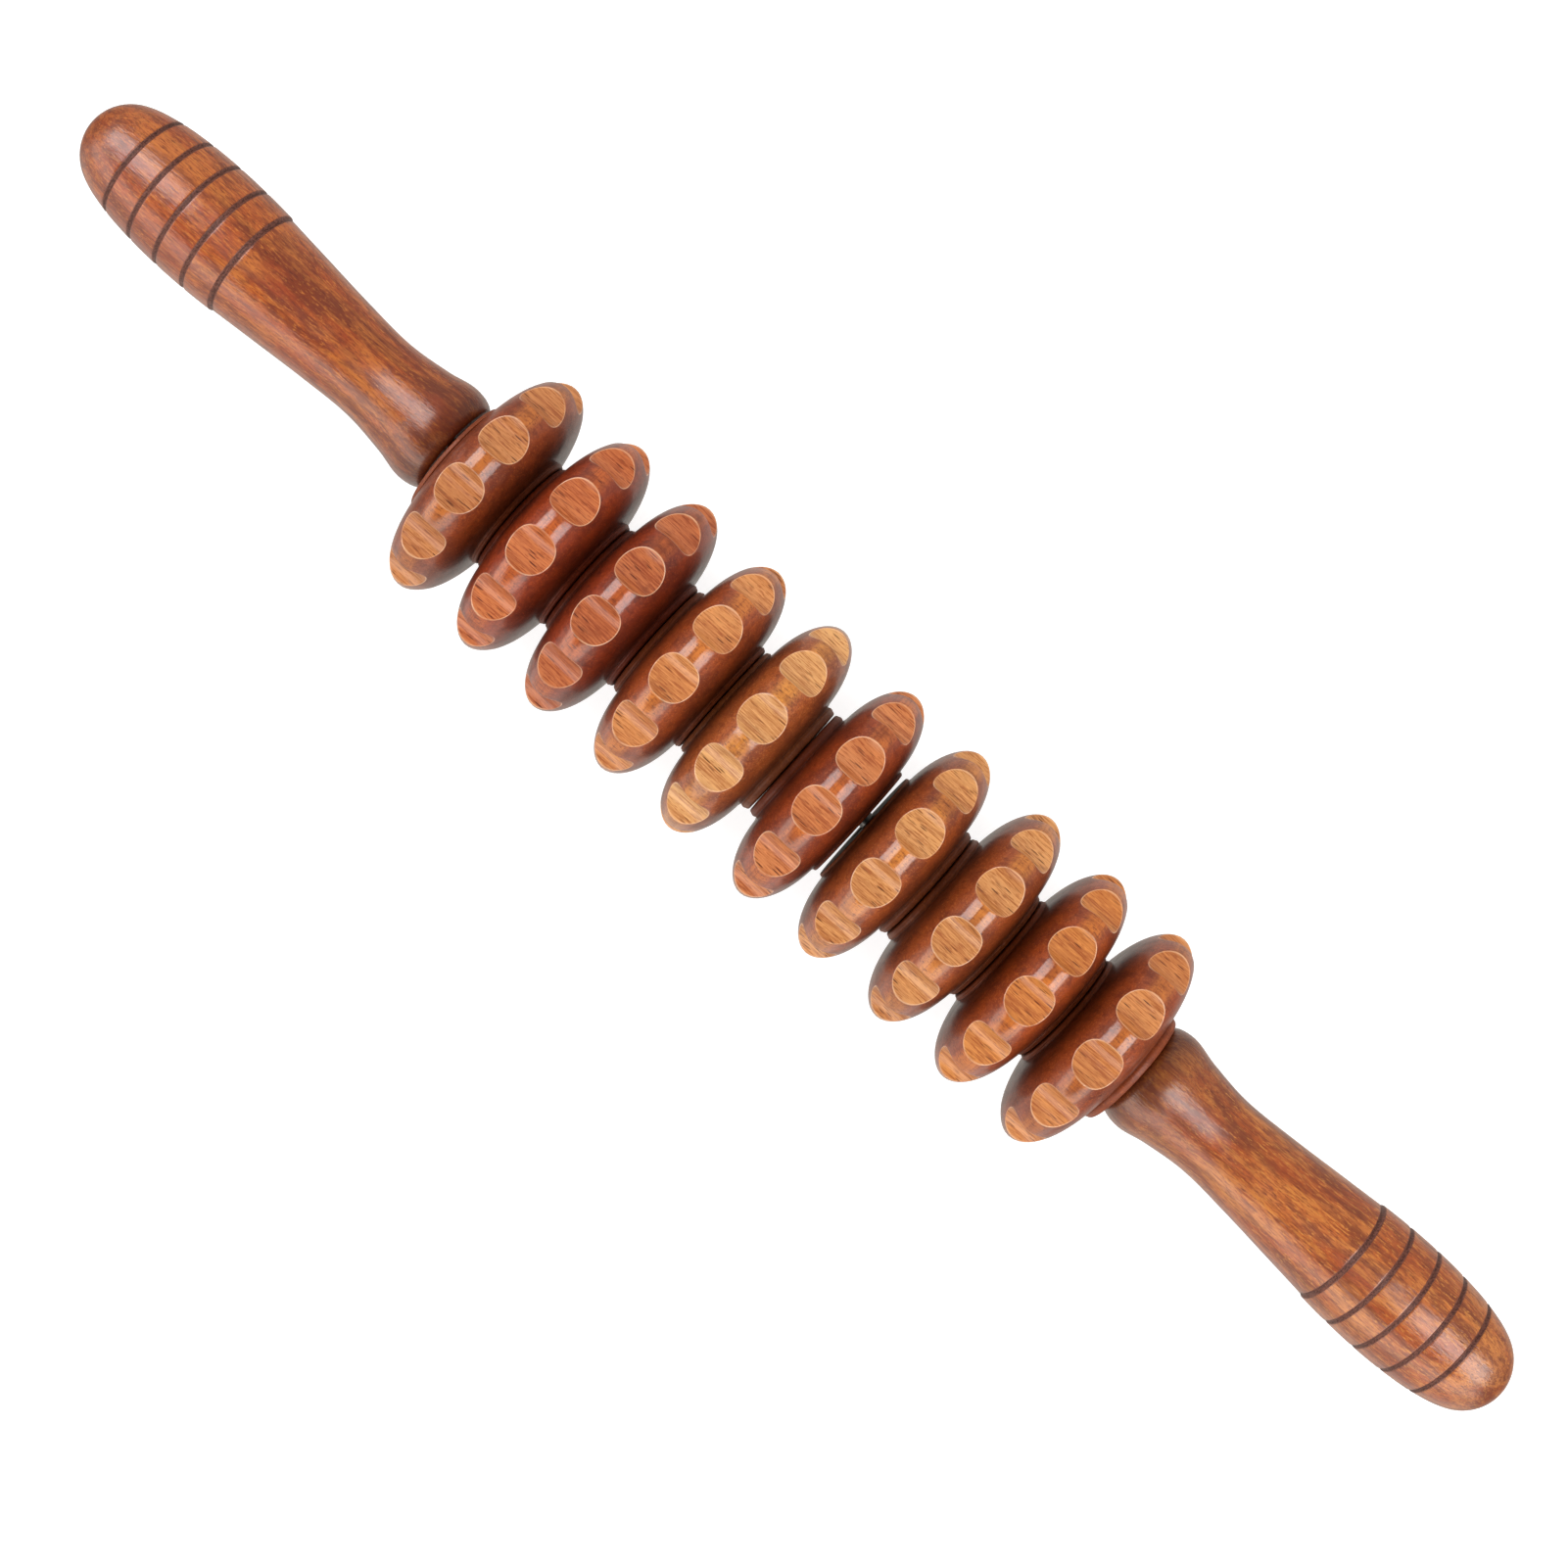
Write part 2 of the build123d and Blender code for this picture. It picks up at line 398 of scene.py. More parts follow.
def handle_profile():
    """The handle's outline from tip to bore, as (distance, radius, darkening, groove) rows; on the
    end face and in the bore the darkening is painted shade.
    """
    rows = []
    tip_end = acos(1 - TIP_ARC_LENGTH / TIP_RADIUS)
    for i in range(1, TIP_ROWS + 1):
        bend = tip_end * i / TIP_ROWS
        distance = TIP_RADIUS * (1 - cos(bend))
        rows.append((distance, TIP_RADIUS * sin(bend), handle_soil(distance), 0.0))
    tip_last = rows.pop()
    tip_slope = cos(tip_end) / sin(tip_end)
    grip = smooth_path([tip_last[:2], *GRIP_POINTS], GRIP_ROWS_PER_MM, tip_slope, GRIP_END_SLOPE)
    shank = smooth_path(SHANK_POINTS, SHANK_ROWS_PER_MM, SHANK_START_SLOPE, 0.0)
    skin = grip + shank[1:]
    grooves = [FIRST_GROOVE + GROOVE_PITCH * i for i in range(GROOVE_COUNT)]
    half = GROOVE_WIDTH / 2
    clear = half + LIP_CLEARANCE * GROOVE_LIP
    lip_end = half + LIP_ROWS[-1][0] * GROOVE_LIP
    for distance, radius in skin:
        if all(abs(distance - g) > clear for g in grooves):
            rows.append((distance, radius, handle_soil(distance), 0.0))
    for g in grooves:
        level = radius_on(grip, min(g, GRIP_POINTS[-1][0]))
        # the last groove is where the grip steps down to the shank
        last = g == grooves[-1]
        fall = GRIP_POINTS[-1][1] - SHANK_POINTS[0][1] if last else 0.0
        before = radius_on(grip, g - lip_end)
        after = radius_on(shank if last else grip, g + lip_end)
        for out, drop, soil, groove in LIP_ROWS:
            rows.append((g - half - out * GROOVE_LIP, before - drop, soil, groove))
            rows.append((g + half + out * GROOVE_LIP, after - drop, soil, groove))
        for i in range(-GROOVE_FLOOR_ROWS, GROOVE_FLOOR_ROWS + 1):
            share = i / GROOVE_FLOOR_ROWS
            depth = GROOVE_DEPTH * (1 - share * share) * GROOVE_FLOOR_FALL + GROOVE_FLOOR_EDGE
            distance = g + half * GROOVE_FLOOR_WIDTH * share
            rows.append((distance, level - fall * (share + 1) / 2 - depth, 1.0, 1.0))
    rows.sort()
    crest = SHANK_POINTS[-1]
    for i in range(1, SHOULDER_ROWS + 1):
        bend = pi / 2 * i / SHOULDER_ROWS
        distance = crest[0] + (HANDLE_LENGTH - crest[0]) * sin(bend)
        radius = END_FACE_RADIUS + (crest[1] - END_FACE_RADIUS) * cos(bend)
        rows.append((distance, radius, handle_soil(distance), 0.0))
    # Painted shade on the end face, which faces the first roller, and down the bore.
    rows.append((HANDLE_LENGTH, END_FACE_RADIUS - END_FACE_EDGE, 0.6, 0.0))
    rows.append((HANDLE_LENGTH, END_FACE_RADIUS / 2, 0.6, 0.0))
    rows.append((HANDLE_LENGTH, HANDLE_BORE_RADIUS + HANDLE_BORE_CHAMFER, 0.7, 0.0))
    rows.append((HANDLE_LENGTH - HANDLE_BORE_CHAMFER, HANDLE_BORE_RADIUS, 0.8, 0.0))
    rows.append((HANDLE_BORE_END, HANDLE_BORE_RADIUS, 1.0, 0.0))
    return rows


def handle(name, tip_x, direction, axis_y):
    """A turned handle whose tip is at tip_x and whose inner end lies along direction."""
    shape = Shape(["soil", "groove"])
    angles = [2 * pi * i / HANDLE_COLUMNS for i in range(HANDLE_COLUMNS)]
    before = None
    for distance, radius, soil, groove in handle_profile():
        row = []
        for a in angles:
            point = around(tip_x + direction * distance, radius, a)
            row.append(shape.add((point[0], point[1] + axis_y, point[2]), soil=soil, groove=groove))
        if before is None:
            tip = shape.add((tip_x, axis_y, 0.0), soil=handle_soil(0.0))
            for i in range(HANDLE_COLUMNS):
                shape.faces.append((tip, row[i], row[(i + 1) % HANDLE_COLUMNS]))
        else:
            shape.strip(before, row)
        before = row
    bottom_x = tip_x + direction * (HANDLE_BORE_END - DRILL_POINT)
    bottom = shape.add((bottom_x, axis_y, 0.0), soil=1.0)
    for i in range(HANDLE_COLUMNS):
        shape.faces.append((bottom, before[i], before[(i + 1) % HANDLE_COLUMNS]))
    return shape.build(name)


# Materials ---------------------------------------------------------------------------


def add_node(tree, kind, inputs=None, **settings):
    """A shader node with its settings and its sockets linked or set."""
    made = tree.nodes.new(kind)
    for key, value in settings.items():
        setattr(made, key, value)
    for key, value in (inputs or {}).items():
        socket = made.inputs[key]
        if isinstance(value, bpy.types.NodeSocket):
            tree.links.new(value, socket)
        else:
            socket.default_value = value
    return made


def stretch(tree, place, scale):
    return add_node(tree, "ShaderNodeMapping", {"Vector": place, "Scale": scale}).outputs[0]


def noise(tree, place, scale, detail=3.0, rough=0.55, distortion=0.0):
    """A noise value whose grain is stretched by the scale, in features per metre."""
    inputs = {
        "Vector": stretch(tree, place, scale),
        "Scale": 1.0,
        "Detail": detail,
        "Roughness": rough,
        "Distortion": distortion,
    }
    return add_node(tree, "ShaderNodeTexNoise", inputs).outputs[0]


def between(tree, value, low, high, to_low=0.0, to_high=1.0):
    """The value eased from one range onto another, and held at its ends."""
    inputs = {
        "Value": value,
        "From Min": low,
        "From Max": high,
        "To Min": to_low,
        "To Max": to_high,
    }
    made = add_node(tree, "ShaderNodeMapRange", inputs, interpolation_type="SMOOTHSTEP")
    return made.outputs[0]


def maths(tree, operation, a, b=0.0):
    made = add_node(tree, "ShaderNodeMath", {0: a, 1: b}, operation=operation)
    return made.outputs[0]


def flecks(tree, place, scale, size, share):
    """Separate marks drawn out along the grain, in a share of the cells that the scale makes."""
    inputs = {"Vector": stretch(tree, place, scale), "Scale": 1.0}
    cells = add_node(tree, "ShaderNodeTexVoronoi", inputs)
    chance = add_node(tree, "ShaderNodeSeparateColor", {0: cells.outputs["Color"]})
    chosen = between(tree, chance.outputs[0], share, share + 0.05, 1.0, 0.0)
    depth = between(tree, chance.outputs[1], 0.0, 1.0, 0.45, 1.0)
    inside = between(tree, cells.outputs["Distance"], size * 0.55, size, 1.0, 0.0)
    return maths(tree, "MULTIPLY", maths(tree, "MULTIPLY", inside, chosen), depth)


def blend(tree, share, a, b, kind="MIX"):
    """Two colours mixed by a share from 0 to 1."""
    colours = [c if isinstance(c, bpy.types.NodeSocket) else (*c, 1.0) for c in (a, b)]
    inputs = {0: share, 6: colours[0], 7: colours[1]}
    return add_node(tree, "ShaderNodeMix", inputs, data_type="RGBA", blend_type=kind).outputs[2]


def mark(tree, name):
    return add_node(tree, "ShaderNodeAttribute", attribute_name=name).outputs["Fac"]


def start_material(name, offset, tilt):
    """A material with its shader and its place in the wood, moved so that no two pieces match."""
    material = bpy.data.materials.new(name)
    material.use_nodes = True
    tree = material.node_tree
    place = add_node(tree, "ShaderNodeTexCoord").outputs["Object"]
    inputs = {"Vector": place, "Location": offset, "Rotation": (0.0, radians(tilt), radians(-tilt))}
    moved = add_node(tree, "ShaderNodeMapping", inputs).outputs[0]
    return material, tree, tree.nodes["Principled BSDF"], place, moved


def lathe_rings(tree, place, axis_y, scale):
    """Fine rings left by turning, the same all the way round the X axis."""
    split = add_node(tree, "ShaderNodeSeparateXYZ", {0: place})
    sideways = maths(tree, "SUBTRACT", split.outputs[1], axis_y * MM)
    across = maths(tree, "POWER", sideways, 2.0)
    upward = maths(tree, "POWER", split.outputs[2], 2.0)
    radius = maths(tree, "SQRT", maths(tree, "ADD", across, upward))
    flat = add_node(tree, "ShaderNodeCombineXYZ", {0: split.outputs[0], 1: radius})
    return noise(tree, flat.outputs[0], (scale, scale, 1.0), detail=2.0)


def bump(tree, height, strength, distance, before=None):
    inputs = {"Height": height, "Strength": strength, "Distance": distance * MM}
    if before is not None:
        inputs["Normal"] = before
    return add_node(tree, "ShaderNodeBump", inputs).outputs[0]


def shade(colour, *factors):
    return tuple(min(1.0, c * k) for c, k in zip(colour, factors))


def roller_wood(name, tint, offset, tilt):
    """Stained wood: light where the scallops are cut, darker where a flank shows end grain."""
    material, tree, shader, place, moved = start_material(name, offset, tilt)
    cut = mark(tree, "cut")
    rim = mark(tree, "rim")
    steep = mark(tree, "steep")
    soil = mark(tree, "soil")
    hub = mark(tree, "hub")
    streaks = noise(tree, moved, (30, 700, 700), detail=4.0, distortion=0.3)
    bands = noise(tree, moved, (12, 130, 130), detail=2.0, distortion=0.6)
    fibres = noise(tree, moved, (190, 3000, 3000), detail=3.0, rough=0.65)
    long_pores = flecks(tree, moved, (190, 1500, 1500), 0.3, 0.9)
    short_pores = flecks(tree, moved, (420, 2400, 2400), 0.32, 0.8)
    zones = noise(tree, moved, (50, 240, 240), detail=1.0)
    blotches = noise(tree, moved, (150, 150, 150), detail=3.0)
    specks = noise(tree, moved, (900, 2300, 2300), detail=3.0)
    fine_speckle = noise(tree, moved, (2700, 2700, 2700), detail=2.0)
    ripples = noise(tree, moved, (350, 900, 900), detail=2.0)
    rings = lathe_rings(tree, place, 0.0, 2300)
    holes = maths(tree, "MULTIPLY", long_pores, between(tree, zones, 0.34, 0.5, 0.1, 1.0))

    bare = shade(tint, 1.03, 1.18, 1.35)
    pale = shade(tint, 1.22, 1.65, 2.2)
    light = shade(tint, 1.5, 2.0, 2.5)
    brown = shade(tint, 0.62, 0.46, 0.4)
    dark = shade(tint, 0.2, 0.12, 0.1)
    gold = shade(tint, 1.15, 1.12, 0.7)
    deep = shade(tint, 0.66, 0.38, 0.25)
    deepest = shade(tint, 0.37, 0.19, 0.14)
    dull = shade(tint, 0.95, 0.75, 0.6)
    highlight_cream = (0.75, 0.48, 0.28)

    # the bare wood that the cutter leaves
    wood = blend(tree, between(tree, bands, 0.38, 0.62), bare, pale)
    wood = blend(tree, between(tree, streaks, 0.48, 0.66, 0.0, 0.55), wood, brown)
    wood = blend(tree, between(tree, fibres, 0.52, 0.62, 0.0, 0.75), wood, brown)
    wood = blend(tree, between(tree, fibres, 0.38, 0.48, 0.6, 0.0), wood, light)
    wood = blend(tree, maths(tree, "MULTIPLY", short_pores, 0.7), wood, brown)
    wood = blend(tree, maths(tree, "MULTIPLY", holes, 0.95), wood, dark)

    # the stained outside, which takes more stain the more a flank faces along the grain
    skin = blend(tree, between(tree, steep, 0.3, 0.66), gold, deep)
    skin = blend(tree, between(tree, steep, 0.72, 1.0), skin, deepest)
    skin = blend(tree, between(tree, blotches, 0.4, 0.65, 0.0, 0.5), skin, brown, "MULTIPLY")
    skin = blend(tree, between(tree, streaks, 0.48, 0.66, 0.0, 0.4), skin, brown, "MULTIPLY")
    skin = blend(tree, between(tree, specks, 0.54, 0.66, 0.0, 0.5), skin, dull)
    skin = blend(tree, between(tree, specks, 0.34, 0.46, 0.6, 0.0), skin, deepest)
    skin = blend(tree, maths(tree, "MULTIPLY", short_pores, 0.6), skin, dark)
    skin = blend(tree, maths(tree, "MULTIPLY", holes, 0.8), skin, dark)
    skin = blend(tree, between(tree, rings, 0.5, 0.66, 0.0, 0.4), skin, deepest)
    # Painted glints: fine light specks that stand in for highlights caught on the bumpy grain.
    skin = blend(tree, between(tree, fine_speckle, 0.6, 0.7, 0.0, 0.3), skin, bare)
    skin = blend(tree, maths(tree, "MULTIPLY", hub, 0.35), skin, brown)
    # Painted shade with a little dirt: in the crease at each collar, towards the gaps between
    # rollers, on the end faces and in the bore.
    skin = blend(tree, maths(tree, "MULTIPLY", soil, 0.8), skin, dark)

    colour = blend(tree, between(tree, cut, 0.35, 0.65), skin, wood)
    # The pale line along each scallop's eased rim is partly a worn edge and partly a painted
    # highlight, patchy with the blotches.
    wear_and_highlight = between(tree, blotches, 0.35, 0.6, 0.2, 0.5)
    colour = blend(tree, maths(tree, "MULTIPLY", rim, wear_and_highlight), colour, highlight_cream)
    tree.links.new(colour, shader.inputs["Base Color"])

    rough = between(tree, blotches, 0.3, 0.7, 0.42, 0.55)
    tree.links.new(rough, shader.inputs["Roughness"])
    shader.inputs["Specular IOR Level"].default_value = 0.25
    lacquer = between(tree, steep, 0.6, 0.95, 0.85, 0.5)
    lacquer = maths(tree, "MULTIPLY", lacquer, between(tree, hub, 0.0, 1.0, 1.0, 0.12))
    lacquer = maths(tree, "SUBTRACT", lacquer, maths(tree, "MULTIPLY", cut, 0.25))
    tree.links.new(lacquer, shader.inputs["Coat Weight"])
    shader.inputs["Coat Roughness"].default_value = 0.08

    on_skin = maths(tree, "SUBTRACT", 1.0, cut)
    normal = bump(tree, maths(tree, "MULTIPLY", rings, on_skin), 0.4, 0.04)
    normal = bump(tree, holes, -0.9, 0.08, normal)
    normal = bump(tree, ripples, 0.4, 0.05, normal)
    normal = bump(tree, blotches, 0.25, 0.2, normal)
    tree.links.new(bump(tree, fibres, 0.35, 0.05, normal), shader.inputs["Coat Normal"])
    normal = bump(tree, fibres, 0.8, 0.05, normal)
    tree.links.new(bump(tree, specks, 0.5, 0.03, normal), shader.inputs["Normal"])
    return material


def handle_wood(name, tint, offset, tilt, axis_y):
    """Glossy reddish-brown wood with golden flecks, dark pores and burnt grooves."""
    material, tree, shader, place, moved = start_material(name, offset, tilt)
    soil = mark(tree, "soil")
    groove = mark(tree, "groove")
    clouds = noise(tree, moved, (32, 85, 85), detail=3.0, distortion=0.8)
    mottle = noise(tree, moved, (95, 300, 300), detail=4.0, rough=0.65, distortion=0.5)
    streaks = noise(tree, moved, (40, 620, 620), detail=4.0, rough=0.6, distortion=0.4)
    fine_speckle = noise(tree, moved, (420, 2500, 2500), detail=4.0, rough=0.7, distortion=0.4)
    zones = noise(tree, moved, (55, 130, 130), detail=3.0)
    smoke = noise(tree, moved, (28, 190, 190), detail=5.0, rough=0.6, distortion=0.6)
    pores = flecks(tree, moved, (300, 1900, 1900), 0.3, 0.85)
    pore_zones = noise(tree, moved, (60, 240, 240), detail=2.0)
    fibres = noise(tree, moved, (240, 3000, 3000), detail=3.0, rough=0.65)
    rings = lathe_rings(tree, place, axis_y, 1700)
    waves = noise(tree, moved, (70, 90, 90), detail=2.0)
    grain = noise(tree, moved, (110, 1300, 1300), detail=3.0)
    ash = noise(tree, moved, (2200, 2200, 2200), detail=2.0)

    gold = shade(tint, 1.6, 2.4, 1.9)
    amber = shade(tint, 1.05, 0.85, 0.4)
    brown = shade(tint, 0.42, 0.31, 0.33)
    dark = shade(tint, 0.22, 0.14, 0.16)
    red = shade(tint, 0.8, 0.55, 0.4)

    lively = between(tree, zones, 0.42, 0.56)
    wood = blend(tree, between(tree, clouds, 0.4, 0.58), red, shade(tint, 1.3, 1.65, 1.6))
    wood = blend(tree, maths(tree, "MULTIPLY", lively, 0.6), wood, amber)
    wood = blend(tree, between(tree, smoke, 0.5, 0.63, 0.0, 0.8), wood, brown)
    wood = blend(tree, between(tree, mottle, 0.5, 0.66, 0.0, 0.65), wood, brown)
    wood = blend(tree, between(tree, streaks, 0.5, 0.66, 0.0, 0.65), wood, brown)
    wood = blend(tree, between(tree, streaks, 0.36, 0.48, 0.35, 0.0), wood, gold)
    wood = blend(tree, between(tree, fibres, 0.52, 0.62, 0.0, 0.6), wood, brown)
    bright_zones = between(tree, zones, 0.38, 0.56, 0.2, 0.7)
    sparks = maths(tree, "MULTIPLY", between(tree, fine_speckle, 0.54, 0.64), bright_zones)
    wood = blend(tree, sparks, wood, gold)
    wood = blend(tree, between(tree, fine_speckle, 0.38, 0.46, 0.7, 0.0), wood, brown)
    holes = maths(tree, "MULTIPLY", pores, between(tree, pore_zones, 0.42, 0.6, 0.1, 1.0))
    wood = blend(tree, maths(tree, "MULTIPLY", holes, 0.9), wood, dark)
    wood = blend(tree, between(tree, rings, 0.55, 0.85, 0.0, 0.18), wood, brown)
    # Darker towards the shoulder, the tip and the groove lips, with painted shade on the end face
    # and in the bore.
    wood = blend(tree, maths(tree, "MULTIPLY", soil, 0.75), wood, dark)
    char = blend(tree, between(tree, ash, 0.35, 0.65), (0.055, 0.016, 0.01), (0.15, 0.052, 0.034))
    colour = blend(tree, between(tree, groove, 0.3, 0.8), wood, char)
    tree.links.new(colour, shader.inputs["Base Color"])

    rough = between(tree, mottle, 0.3, 0.7, 0.4, 0.52)
    tree.links.new(rough, shader.inputs["Roughness"])
    shader.inputs["Specular IOR Level"].default_value = 0.25
    tree.links.new(between(tree, groove, 0.3, 0.8, 0.8, 0.1), shader.inputs["Coat Weight"])
    shader.inputs["Coat Roughness"].default_value = 0.17

    normal = bump(tree, waves, 0.6, 0.6)
    normal = bump(tree, rings, 0.2, 0.04, normal)
    normal = bump(tree, grain, 0.8, 0.1, normal)
    normal = bump(tree, holes, -0.9, 0.1, normal)
    tree.links.new(bump(tree, fibres, 0.7, 0.06, normal), shader.inputs["Coat Normal"])
    normal = bump(tree, fine_speckle, 0.7, 0.06, normal)
    tree.links.new(bump(tree, fibres, 0.9, 0.06, normal), shader.inputs["Normal"])
    return material


def rod_steel():
    """Dull drawn steel with fine marks along the bar and a little brown tarnish."""
    material, tree, shader, _, moved = start_material("rod_steel", (0.02, 0.01, 0.0), 0.0)
    drawn = noise(tree, moved, (60, 6000, 6000), detail=3.0)
    tarnish = noise(tree, moved, (160, 420, 420), detail=4.0)
    colour = blend(tree, between(tree, drawn, 0.3, 0.7), (0.2, 0.195, 0.19), (0.33, 0.325, 0.32))
    colour = blend(tree, between(tree, tarnish, 0.5, 0.75, 0.0, 0.6), colour, (0.12, 0.075, 0.05))
    tree.links.new(colour, shader.inputs["Base Color"])
    shader.inputs["Metallic"].default_value = 1.0
    tree.links.new(between(tree, tarnish, 0.3, 0.7, 0.3, 0.55), shader.inputs["Roughness"])
    tree.links.new(bump(tree, drawn, 0.3, 0.03), shader.inputs["Normal"])
    return material


def studio_paper():
    """White translucent sheet, lit evenly from behind, as on a light table."""
    material, tree, shader, _, moved = start_material("studio_paper", (0.0, 0.0, 0.0), 0.0)
    tone = noise(tree, moved, (3, 3, 3), detail=2.0)
    colour = blend(tree, tone, (0.34, 0.34, 0.34), (0.37, 0.37, 0.37))
    tree.links.new(colour, shader.inputs["Base Color"])
    shader.inputs["Roughness"].default_value = 0.9
    shader.inputs["Specular IOR Level"].default_value = 0.1
    shader.inputs["Emission Color"].default_value = (1.0, 1.0, 1.0, 1.0)
    shader.inputs["Emission Strength"].default_value = 0.82
    return material


# Camera, lights and floor ------------------------------------------------------------

CAMERA_TURN = radians(42.12)
CAMERA_PLACE = (0.0019, -0.0049, 0.612)
FRAME_WIDTH = 36.0
VIEW_PIXELS_PER_RADIAN = 2750
IMAGE_SIDE = 1601

# The floor, in metres: a flat disc, a bend up into a wall, and the wall
FLOOR_RINGS = [0.3, 1.0, 2.4]
WALL_BEND = 0.6
WALL_BEND_ROWS = 8
WALL_HEIGHT = 2.2
FLOOR_COLUMNS = 64


def camera():
    data = bpy.data.cameras.new("camera")
    data.sensor_width = FRAME_WIDTH
    data.lens = FRAME_WIDTH * VIEW_PIXELS_PER_RADIAN / IMAGE_SIDE
    data.clip_start = 0.01
    data.clip_end = 20.0
    made = bpy.data.objects.new("camera", data)
    made.location = CAMERA_PLACE
    made.rotation_euler = (0.0, 0.0, CAMERA_TURN)
    bpy.context.scene.collection.objects.link(made)
    bpy.context.scene.camera = made


def softbox(name, place, size, radiance, glossy=True):
    """A soft light at a place, facing the object, with its first side in the XZ plane."""
    data = bpy.data.lights.new(name, "AREA")
    data.shape = "RECTANGLE"
    data.size, data.size_y = size
    data.energy = radiance * pi * size[0] * size[1]
    outward = Vector(place).normalized()
    first = Vector((0, 1, 0)).cross(outward).normalized()
    facing = Matrix((first, outward.cross(first), outward)).transposed().to_4x4()
    made = bpy.data.objects.new(name, data)
    made.matrix_world = Matrix.Translation(place) @ facing
    made.visible_camera = False
    made.visible_glossy = glossy
    bpy.context.scene.collection.objects.link(made)


def backdrop(floor_height):
    """A round sheet of studio paper that curves up into a low wall all the way round."""
    rows = [(reach, 0.0) for reach in FLOOR_RINGS]
    for i in range(1, WALL_BEND_ROWS + 1):
        bend = pi / 2 * i / WALL_BEND_ROWS
        rows.append((FLOOR_RINGS[-1] + WALL_BEND * sin(bend), WALL_BEND * (1 - cos(bend))))
    rows.append((FLOOR_RINGS[-1] + WALL_BEND, WALL_HEIGHT))
    points = [(0.0, 0.0, floor_height)]
    for reach, height in rows:
        for i in range(FLOOR_COLUMNS):
            a = 2 * pi * i / FLOOR_COLUMNS
            points.append((reach * cos(a), reach * sin(a), floor_height + height))
    faces = []
    for i in range(FLOOR_COLUMNS):
        j = (i + 1) % FLOOR_COLUMNS
        faces.append((0, 1 + i, 1 + j))
        for k in range(len(rows) - 1):
            a, b = 1 + k * FLOOR_COLUMNS, 1 + (k + 1) * FLOOR_COLUMNS
            faces.append((a + i, b + i, b + j, a + j))
    mesh = bpy.data.meshes.new("floor")
    mesh.from_pydata(points, [], faces)
    mesh.polygons.foreach_set("use_smooth", [True] * len(faces))
    mesh.materials.append(studio_paper())
    floor = bpy.data.objects.new("floor", mesh)
    floor.visible_glossy = False
    bpy.context.scene.collection.objects.link(floor)


def surround():
    """A dim room with a bright window wall on the -Y side, which the lacquer reflects."""
    world = bpy.data.worlds.new("surround")
    world.use_nodes = True
    tree = world.node_tree
    toward = add_node(tree, "ShaderNodeTexCoord").outputs["Generated"]
    split = add_node(tree, "ShaderNodeSeparateXYZ", {0: toward})
    front = between(tree, split.outputs[1], -0.48, -0.22, 1.0, 0.0)
    top = between(tree, split.outputs[2], 0.5, 0.66, 1.0, 0.0)
    foot = between(tree, split.outputs[2], -0.02, 0.14, 0.24, 1.0)
    wall = maths(tree, "MULTIPLY", front, 3.4)
    window = maths(tree, "MULTIPLY", wall, maths(tree, "MULTIPLY", top, foot))
    down = between(tree, split.outputs[2], -1.0, -0.45, 0.5, 0.0)
    back = between(tree, split.outputs[1], 0.2, 0.8, 0.1, 0.4)
    strength = maths(tree, "ADD", maths(tree, "MAXIMUM", window, down), back)
    tree.links.new(strength, tree.nodes["Background"].inputs["Strength"])
    tree.nodes["Background"].inputs["Color"].default_value = (1.0, 0.94, 0.86, 1.0)
    bpy.context.scene.world = world


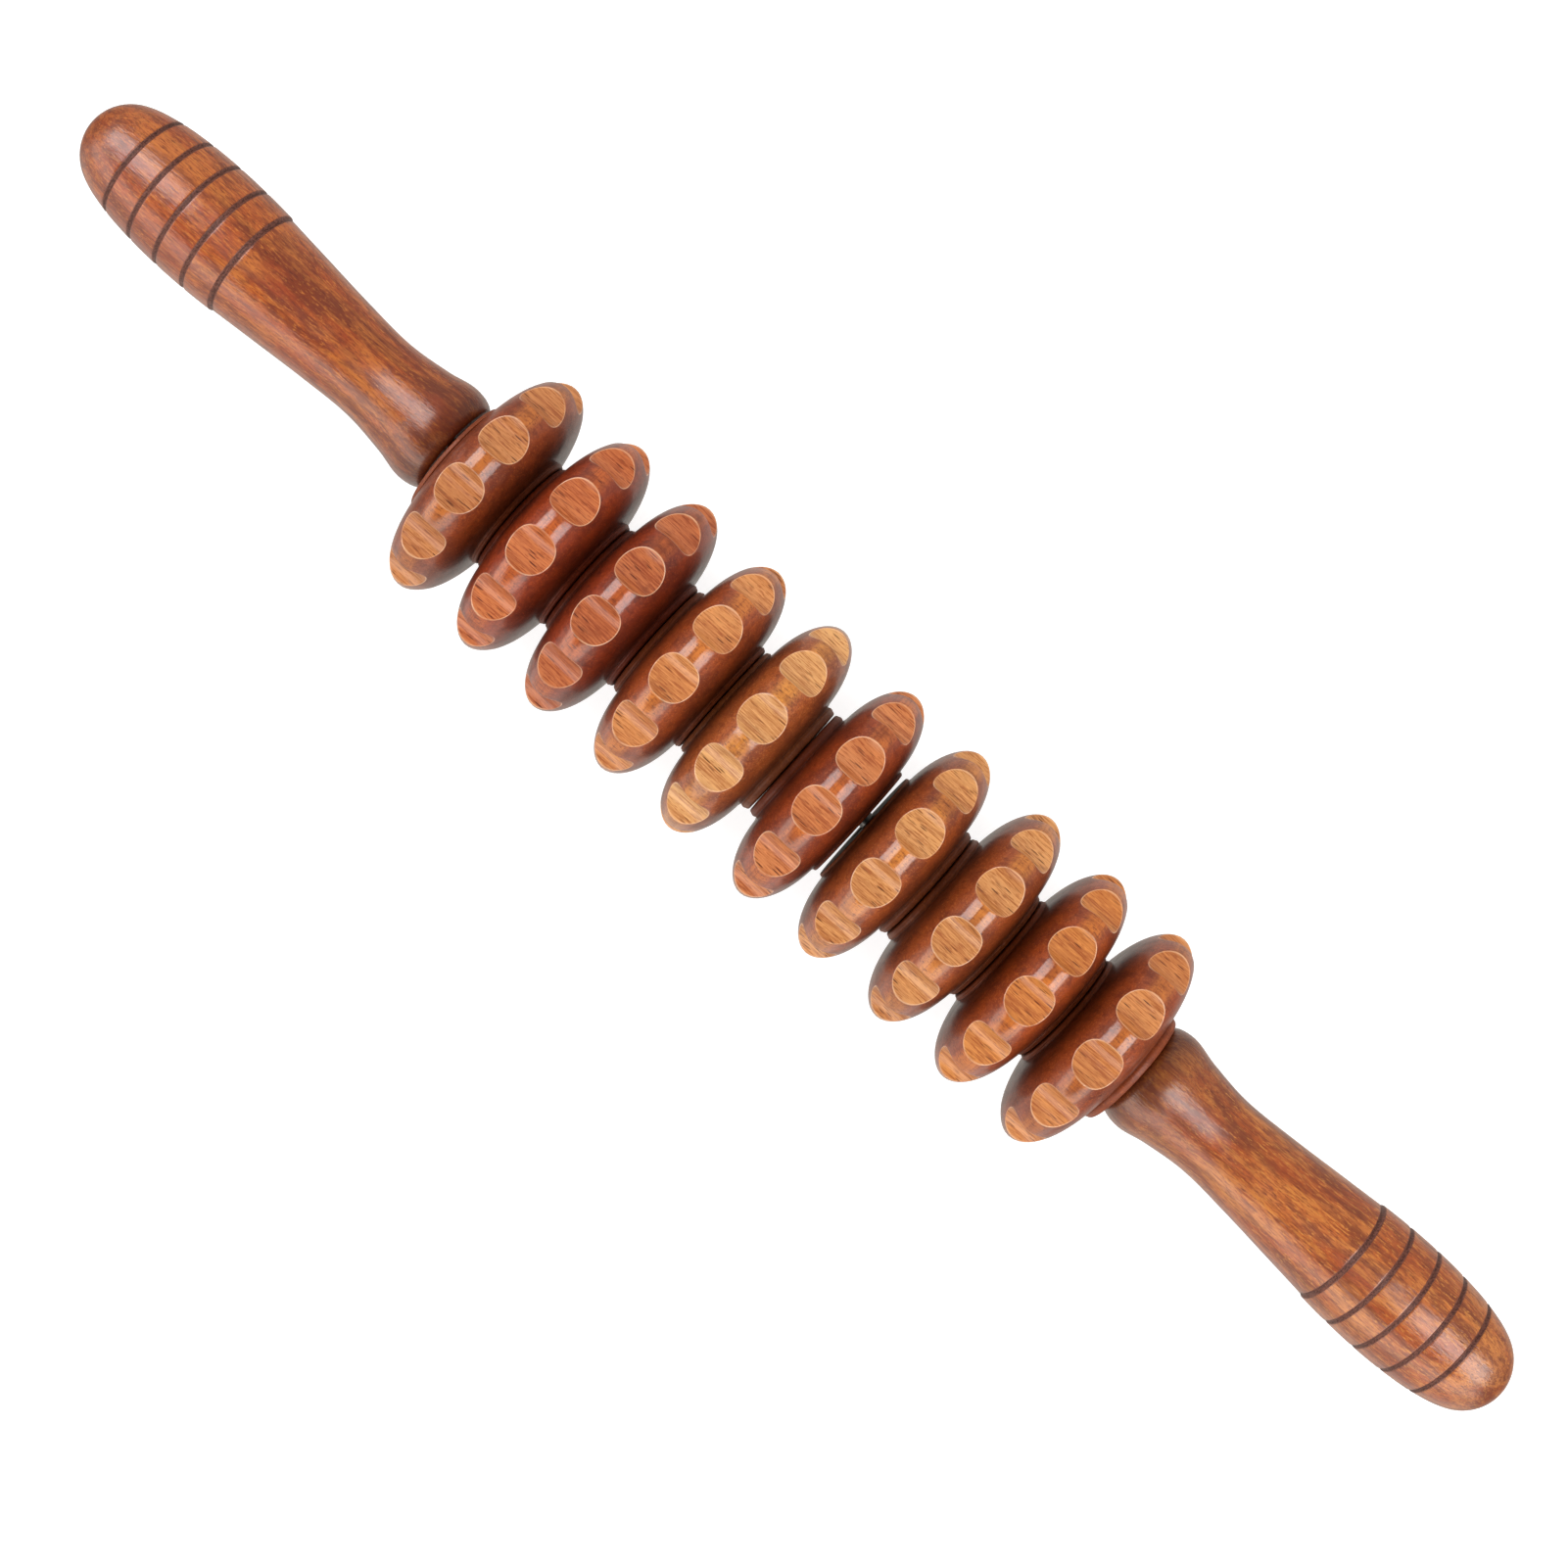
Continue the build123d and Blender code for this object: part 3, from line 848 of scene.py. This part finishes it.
def lights():
    """Two small lamps above, two wide ones to the sides, and three fills that leave no glint."""
    softbox("left_high", (-0.3, -0.3, 1.0), (0.1, 0.3), 1.6)
    softbox("right_high", (0.3, -0.3, 1.0), (0.1, 0.3), 1.6)
    softbox("left_side", (-0.73, 0.05, 0.68), (0.8, 0.56), 6.1)
    softbox("right_side", (0.73, 0.05, 0.68), (0.8, 0.56), 6.1)
    softbox("left_fill", (-0.95, 0.0, 0.3), (0.6, 0.6), 1.6, glossy=False)
    softbox("right_fill", (0.95, 0.0, 0.3), (0.6, 0.6), 1.6, glossy=False)
    softbox("front_fill", (0.0, -0.9, 0.6), (1.4, 0.6), 1.1, glossy=False)


# The object --------------------------------------------------------------------------

ROLLER_TINTS = [
    (0.318, 0.094, 0.024),
    (0.324, 0.070, 0.016),
    (0.287, 0.061, 0.015),
    (0.377, 0.116, 0.029),
    (0.410, 0.158, 0.046),
    (0.346, 0.090, 0.023),
    (0.377, 0.129, 0.033),
    (0.365, 0.122, 0.031),
    (0.365, 0.102, 0.019),
    (0.353, 0.103, 0.024),
]
HANDLE_TINTS = {"left_handle": (0.265, 0.056, 0.01), "right_handle": (0.295, 0.075, 0.016)}

joints = {joint["child"]: joint for joint in frame["joints"]}

for i, (turn, tint) in enumerate(zip(ROLLER_TURN, ROLLER_TINTS)):
    node = f"roller_{i + 1:02d}"
    x = joints[node]["pos_m"][0] / MM
    low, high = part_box(node)
    ends = (x - low.x / MM, high.x / MM - x)
    bulges = [0.0 if gap == MIDDLE_GAP else FACE_BULGE for gap in (i, i + 1)]
    piece = roller(f"{node}_turned", x, ends, bulges, radians(turn))
    offset = (0.137 * (i + 1), 0.053 * (i * i + 1), 0.071 * (i + 3))
    tilt = 2.5 * sin(2.4 * i)
    piece.data.materials.append(roller_wood(f"{node}_wood", tint, offset, tilt))
    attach(piece, node)
    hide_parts(node)

for node, direction in (("left_handle", 1), ("right_handle", -1)):
    low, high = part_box(node)
    tip_x = (low.x if direction > 0 else high.x) / MM
    axis_y = (low.y + high.y) / 2 / MM
    piece = handle(f"{node}_turned", tip_x, direction, axis_y)
    offset = (0.31 * direction, 0.17, 0.23 * direction)
    wood = handle_wood(f"{node}_wood", HANDLE_TINTS[node], offset, 1.5, axis_y)
    piece.data.materials.append(wood)
    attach(piece, "handle_bar")
    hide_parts(node)

rod = frame["nodes"]["core_rod"]
rod.data.materials.clear()
rod.data.materials.append(rod_steel())

camera()
backdrop(cad_bounds[0][2])
lights()
surround()
bpy.context.scene.view_settings.view_transform = "Standard"
